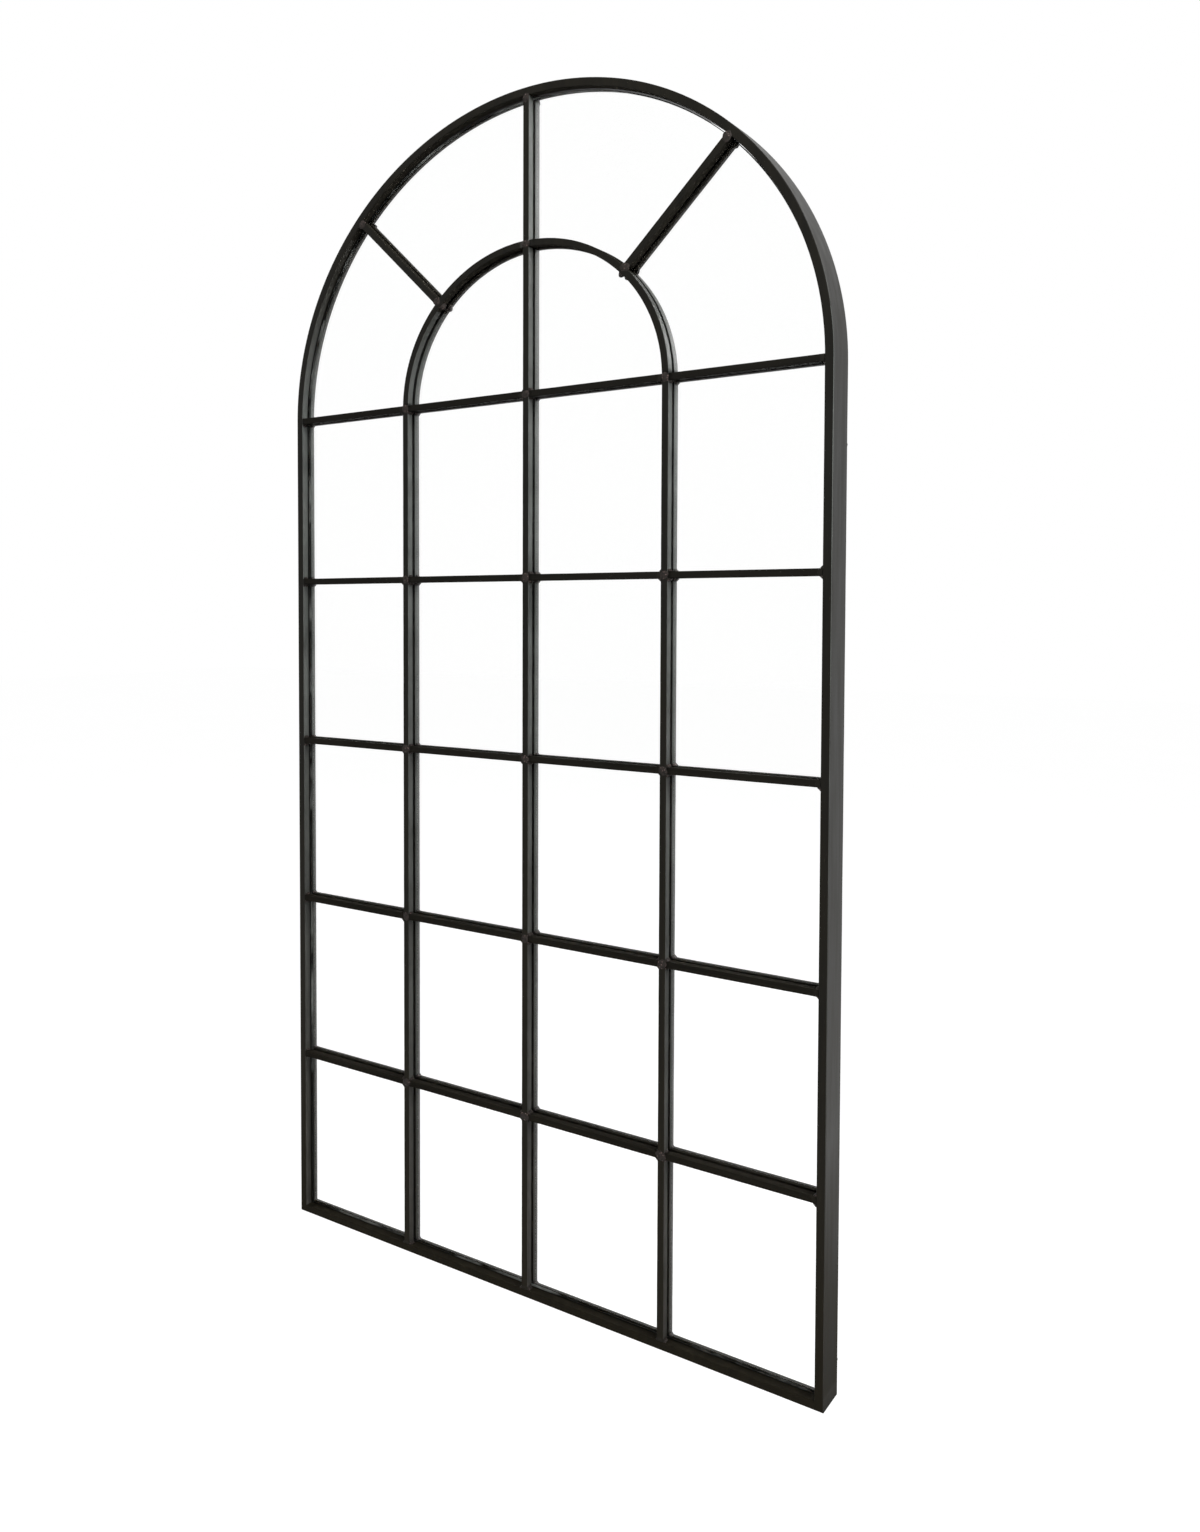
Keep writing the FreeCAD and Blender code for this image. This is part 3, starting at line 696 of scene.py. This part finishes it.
def bead_mesh(leg, depth, turns=6, steps=14, root=0.0006):
    """Weld that fills a corner opening to +x and +z, from the front of the bars to the glass.

    It swells and narrows along its length, and its root lies a little inside the corner.
    """
    points, faces = [], []
    for step in range(steps + 1):
        along = step / steps
        y = depth * (along - 0.5)
        ends = min(along, 1 - along) * steps
        swell = (1.0 if ends >= 1 else 0.8) * (1 + 0.09 * math.cos(step * 2.4))
        points.append((-root, y, -root))
        for i in range(turns + 1):
            turn = QUARTER * i / turns
            reach = leg * swell * (1 - 0.24 * math.sin(2 * turn))
            points.append((reach * math.cos(turn), y, reach * math.sin(turn)))
    ring = turns + 2
    for step in range(steps):
        for i in range(ring):
            j = (i + 1) % ring
            here = step * ring
            faces.append((here + i, here + j, here + ring + j, here + ring + i))
    faces.append(tuple(range(ring)))
    faces.append(tuple(steps * ring + i for i in range(ring)))
    mesh = points_mesh("bead", points, (), faces)
    outwards(mesh)
    return mesh


def copies_piece(
    name, shape_mesh, places, material, slot, replaced, seed, sizes=(1.0, 1.0), rough=(0.01, 0.0)
):
    """Copies of a shape. Each place has a point and an x, y, z turn.

    The sizes are the smallest and the largest, and rough is the size and the depth of the lumps.
    """
    shape = show("shape", shape_mesh)
    mesh = points_mesh(name, [point for point, _ in places])
    turn = mesh.attributes.new("turn", "FLOAT_VECTOR", "POINT")
    for item, (_, angles) in zip(turn.data, places):
        item.vector = angles
    piece = show(name, mesh)
    placed_copies.apply(
        piece,
        Shape=shape,
        Seed=seed,
        Smallest=sizes[0],
        Largest=sizes[1],
        Lump_size=rough[0],
        Roughness=rough[1],
        Material=material,
    )
    remove(shape)
    smooth(piece)
    finish_piece(piece, (material,), slot, *replaced)


def corner(x, z, right, up):
    """The place of a bead in the corner that opens right or left and up or down."""
    quarters = {(1, 1): 0, (1, -1): 1, (-1, -1): 2, (-1, 1): 3}
    return (x, BAR_MIDDLE, z), (0.0, quarters[right, up] * QUARTER, 0.0)


def corners_at(x, z, ups=(1, -1)):
    return [corner(x + EDGE * right, z + EDGE * up, right, up) for right in (1, -1) for up in ups]


COLUMNS = (-COLUMN, 0.0, COLUMN)
crossings = [(x, z) for x in COLUMNS for z in ROWS[:-1]]
springings = [(x, ROWS[-1]) for x in COLUMNS]
HEAD_REACH = INNER - 0.0035
head_joints = [(0.0, SPRING + COLUMN), (0.0, SPRING + HEAD_REACH)]
for hand in (1, -1):
    for reach in (COLUMN + EDGE, HEAD_REACH):
        x, z = on_circle(reach, SPOKE)
        head_joints.append((hand * x, z))

LUMP_RADIUS, LUMP_RISE = 0.0078, (FRONT - weld_low.y) * 0.9
LUMP_TURN = 1.7
joints = crossings + springings + head_joints
copies_piece(
    "front_lumps",
    lump_mesh(LUMP_RADIUS, LUMP_RISE),
    [((x, FRONT, z), (0.0, LUMP_TURN * i, 0.0)) for i, (x, z) in enumerate(joints)],
    weld,
    "weld",
    ("arch_welds",),
    4,
    (0.8, 1.0),
    (0.0028, 0.0009),
)

beads = []
for x, z in crossings:
    beads += corners_at(x, z)
beads += corners_at(0.0, ROWS[-1])
for x in (-COLUMN, COLUMN):
    beads += corners_at(x, ROWS[-1], (-1,))
for z in ROWS:
    for hand in (1, -1):
        for up in (1, -1) if z != ROWS[-1] else (-1,):
            beads.append(corner(INNER * hand, z + EDGE * up, -hand, up))
for x in COLUMNS:
    for right in (1, -1):
        beads.append(corner(x + EDGE * right, FLOOR, right, 1))
BEAD_LEG, BEAD_DEPTH = 0.0042, BAR_DEPTH - 0.0004
copies_piece(
    "corner_beads",
    bead_mesh(BEAD_LEG, BEAD_DEPTH),
    beads,
    weld,
    "weld",
    ("crossing_welds", "springing_welds", "stile_welds", "rail_welds"),
    9,
    (0.7, 1.1),
    (0.0030, 0.0008),
)

BUTTON_REACH = COLUMN - EDGE + 0.0003
BUTTON_RADIUS, BUTTON_RISE = 0.0060, 0.0062


def button_mesh():
    """Two round welds, each swelling from the inner side of the inner arch towards its middle."""
    whole = bmesh.new()
    for hand in (1, -1):
        x, z = on_circle(BUTTON_REACH, SPOKE)
        inward = Vector((-hand * math.cos(SPOKE), 0.0, -math.sin(SPOKE)))
        turn = Vector((0.0, -1.0, 0.0)).rotation_difference(inward).to_matrix().to_4x4()
        turn.translation = Vector((hand * x, BAR_MIDDLE, z))
        part = lump_mesh(BUTTON_RADIUS, BUTTON_RISE)
        part.transform(turn)
        whole.from_mesh(part)
        bpy.data.meshes.remove(part)
    mesh = bpy.data.meshes.new("buttons")
    whole.to_mesh(mesh)
    whole.free()
    return mesh


button_piece = show("spoke_end_buttons", button_mesh())
uneven_faces.apply(button_piece, Lump_size=0.002, Unevenness=0.0006, Material=weld)
smooth(button_piece)
finish_piece(button_piece, (weld,), "weld", "spoke_buttons")

# --- glass and back --------------------------------------------------------------------------------


def sheet_outline(inset, steps=96):
    """The glass's outline, drawn in by the inset."""
    reach, low = glass_high.x - inset, glass_low.z + inset
    return [(-reach, low), (reach, low)] + around(reach, 0.0, math.pi, steps)


def sheet_mesh(name, rings):
    """A flat arched sheet whose rim passes through the rings, each an inset and a depth."""
    points, faces = [], []
    for inset, depth in rings:
        points += [(x, depth, z) for x, z in sheet_outline(inset)]
    count = len(points) // len(rings)
    faces.append(tuple(range(count)))
    faces.append(tuple(range(count * len(rings) - 1, count * (len(rings) - 1) - 1, -1)))
    for ring in range(len(rings) - 1):
        for i in range(count):
            j = (i + 1) % count
            here, there = ring * count, (ring + 1) * count
            faces.append((here + j, here + i, there + i, there + j))
    mesh = points_mesh(name, points, (), faces)
    outwards(mesh)
    return mesh


ARRIS = 0.0010
SILVER_INSET = 0.0004
SILVER_DEPTHS = (glass_high.y - 0.00015, glass_high.y - SEAM)
pane_mesh = sheet_mesh("glass", ((ARRIS, glass_low.y), (0.0, glass_low.y + ARRIS), (0.0, glass_high.y)))
for face in pane_mesh.polygons:
    face.material_index = int(abs(face.normal.y) < 0.9)
finish_piece(show("glass", pane_mesh), (mirror_glass, ground_glass), "mirror", "mirror_glass")

silver_rings = [(SILVER_INSET, depth) for depth in SILVER_DEPTHS]
finish_piece(show("silvering", sheet_mesh("silvering", silver_rings)), (silvering,), "mirror")


def screw_mesh(head=0.0035, rise=0.002, shank=0.00172, length=0.007, sides=24):
    """A pan-head screw along +x with its seat at x = 0, and a cross recess in the head."""
    whole = bmesh.new()
    profile = [(length, shank * 0.5), (length - 0.0012, shank), (0.0, shank), (0.0, head)]
    profile += [(-rise * 0.45, head), (-rise * 0.8, head * 0.9), (-rise, head * 0.66)]
    rings = []
    for x, radius in profile:
        turns = [math.tau * i / sides for i in range(sides)]
        rings.append([whole.verts.new((x, radius * math.cos(t), radius * math.sin(t))) for t in turns])
    for low, high in zip(rings, rings[1:]):
        for i in range(sides):
            j = (i + 1) % sides
            whole.faces.new((low[i], low[j], high[j], high[i]))
    whole.faces.new(rings[0])
    arm, half = head * 0.5, head * 0.13
    cross = [(arm, -half), (arm, half), (half, half), (half, arm), (-half, arm), (-half, half)]
    cross += [(-y, -z) for y, z in cross]
    upper = [whole.verts.new((-rise, y, z)) for y, z in cross]
    lower = [whole.verts.new((-rise * 0.3, y * 0.55, z * 0.55)) for y, z in cross]
    for i in range(len(cross)):
        j = (i + 1) % len(cross)
        whole.faces.new((upper[i], upper[j], lower[j], lower[i]))
    whole.faces.new(lower)
    rim = [e for e in whole.edges if e.is_boundary and all(v in rings[-1] for v in e.verts)]
    slot = [e for e in whole.edges if e.is_boundary and all(v in upper for v in e.verts)]
    bmesh.ops.triangle_fill(whole, edges=rim + slot, use_beauty=True)
    bmesh.ops.recalc_face_normals(whole, faces=whole.faces)
    mesh = bpy.data.meshes.new("screw")
    whole.to_mesh(mesh)
    whole.free()
    return mesh


def screw_places(clip_edge=0.010, clip_thickness=0.0015):
    """The seat of every screw on its clip, and its turn from +x, from the boxes of the clips.

    The clip's edge is half its width, from the middle of its screw.
    """
    clip_low, clip_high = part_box("stile_clips")
    screw_low, screw_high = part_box("stile_screws")
    depth = (screw_low.y + screw_high.y) / 2
    middle = (clip_high.z + clip_low.z) / 2
    places = []
    for z in (clip_low.z + clip_edge, middle, clip_high.z - clip_edge):
        places.append(((INNER - clip_thickness, depth, z), (0.0, 0.0, 0.0)))
        places.append(((-INNER + clip_thickness, depth, z), (0.0, math.pi, 0.0)))
    low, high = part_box("rail_clips")
    for x in (low.x + clip_edge, high.x - clip_edge):
        places.append(((x, depth, FLOOR + clip_thickness), (0.0, QUARTER, 0.0)))
    chord = math.sqrt(INNER**2 - clip_edge**2) - clip_thickness
    for turn in (SPOKE, QUARTER, 3 * SPOKE):
        x, z = on_circle(chord, turn)
        places.append(((x, depth, z), (0.0, -turn, 0.0)))
    return places


copies_piece(
    "clip_screws",
    screw_mesh(),
    screw_places(),
    screw_steel,
    "screw_steel",
    ("stile_screws", "rail_screws", "head_screws"),
    2,
)


def dress_node(name, material, rounding):
    """Gives a node its material, and rounds its edges."""
    node = nodes[name]
    node.data.materials.clear()
    node.data.materials.append(material)
    join = node.modifiers.new("join", "WELD")
    join.merge_threshold = 0.00001
    bevel = node.modifiers.new("rounding", "BEVEL")
    bevel.width = rounding
    bevel.segments = 2
    bevel.limit_method = "ANGLE"
    bevel.angle_limit = math.radians(40)
    bevel.harden_normals = True


dress_node("backing_board", board, 0.0003)
for name in ("stile_clips", "rail_clips", "head_clips"):
    dress_node(name, clip_steel, 0.0002)
for name in ("hanger_plate_left", "hanger_plate_right"):
    dress_node(name, plate_paint, 0.0004)
dress_node("hanger_welds", weld, 0.0008)
dress_node("wall_pads", pad_rubber, 0.0006)

# --- camera ----------------------------------------------------------------------------------------

camera = bpy.data.objects.new("camera", bpy.data.cameras.new("camera"))
camera.data.lens = 30.195
camera.data.shift_x = 0.17624
camera.data.shift_y = -0.07427
camera.data.clip_start = 0.01
camera.location = (0.9883, -1.7073, -0.2476)
camera.rotation_euler = [math.radians(angle) for angle in (87.8527, 0.2387, 39.5146)]
scene.collection.objects.link(camera)
scene.camera = camera

# --- floor, backdrop and lamps ---------------------------------------------------------------------


WHITE, SOFT_LIGHT = 1.0, 0.2
FLOOR_GLOW = 0.93
FLOOR_REACH = 14.0


def seen_directly(tree):
    """1 for rays from the camera, or by way of a mirror or glass, and 0 for light on the object."""
    path = tree.nodes.new("ShaderNodeLightPath")
    total = path.outputs["Is Camera Ray"]
    for name in ("Is Glossy Ray", "Is Transmission Ray"):
        larger = tree.nodes.new("ShaderNodeMath")
        larger.operation = "MAXIMUM"
        tree.links.new(total, larger.inputs[0])
        tree.links.new(path.outputs[name], larger.inputs[1])
        total = larger.outputs[0]
    return total


def pale_floor():
    m = Material("pale floor")
    grain = m.noise(0.5, 3.0)
    lit = m.add("ShaderNodeBsdfDiffuse")
    m.feed(lit.inputs["Color"], m.mix(grain, (0.30, 0.30, 0.30), (0.34, 0.34, 0.34)))
    glow = m.add("ShaderNodeEmission")
    m.feed(glow.inputs["Strength"], FLOOR_GLOW)
    white = m.add("ShaderNodeAddShader")
    m.feed(white.inputs[0], lit.outputs[0])
    m.feed(white.inputs[1], glow.outputs[0])
    plain = m.add("ShaderNodeBsdfDiffuse")
    m.feed(plain.inputs["Color"], (0.7, 0.7, 0.7))
    choice = m.add("ShaderNodeMixShader")
    for i, value in enumerate((seen_directly(m.tree), plain.outputs[0], white.outputs[0])):
        m.feed(choice.inputs[i], value)
    m.feed(m.output.inputs["Surface"], choice.outputs[0])
    return m.material


floor_corners = [(x * FLOOR_REACH, y * FLOOR_REACH, BOTTOM) for x, y in ((-1, -1), (1, -1), (1, 1), (-1, 1))]
floor_mesh = points_mesh("floor", floor_corners, (), [(0, 1, 2, 3)])
floor_mesh.materials.append(pale_floor())
show("floor", floor_mesh)

world = bpy.data.worlds.new("studio")
scene.world = world
world.use_nodes = True
tree = world.node_tree
tree.nodes.clear()
backdrops = []
for grey in (SOFT_LIGHT, WHITE):
    backdrop = tree.nodes.new("ShaderNodeBackground")
    backdrop.inputs["Color"].default_value = (grey, grey, grey, 1)
    backdrops.append(backdrop)
choice = tree.nodes.new("ShaderNodeMixShader")
tree.links.new(seen_directly(tree), choice.inputs[0])
for i, backdrop in enumerate(backdrops):
    tree.links.new(backdrop.outputs[0], choice.inputs[i + 1])
tree.links.new(choice.outputs[0], tree.nodes.new("ShaderNodeOutputWorld").inputs["Surface"])


def lamp(name, place, target, size, power, colour=(1.0, 1.0, 1.0)):
    light = bpy.data.lights.new(name, "AREA")
    light.shape = "RECTANGLE"
    light.size, light.size_y = size
    light.energy = power
    light.color = colour
    holder = bpy.data.objects.new(name, light)
    holder.location = place
    holder.rotation_euler = (Vector(target) - Vector(place)).to_track_quat("-Z", "Y").to_euler()
    scene.collection.objects.link(holder)


lamp("side softbox", (1.7, -0.55, 1.15), (0.0, -0.05, 0.1), (0.9, 0.9), 30, (0.97, 0.99, 1.0))
lamp("front softbox", (1.75, -2.95, 1.35), (0.0, 0.0, 0.1), (1.3, 1.0), 40)

scene.view_settings.view_transform = "Standard"
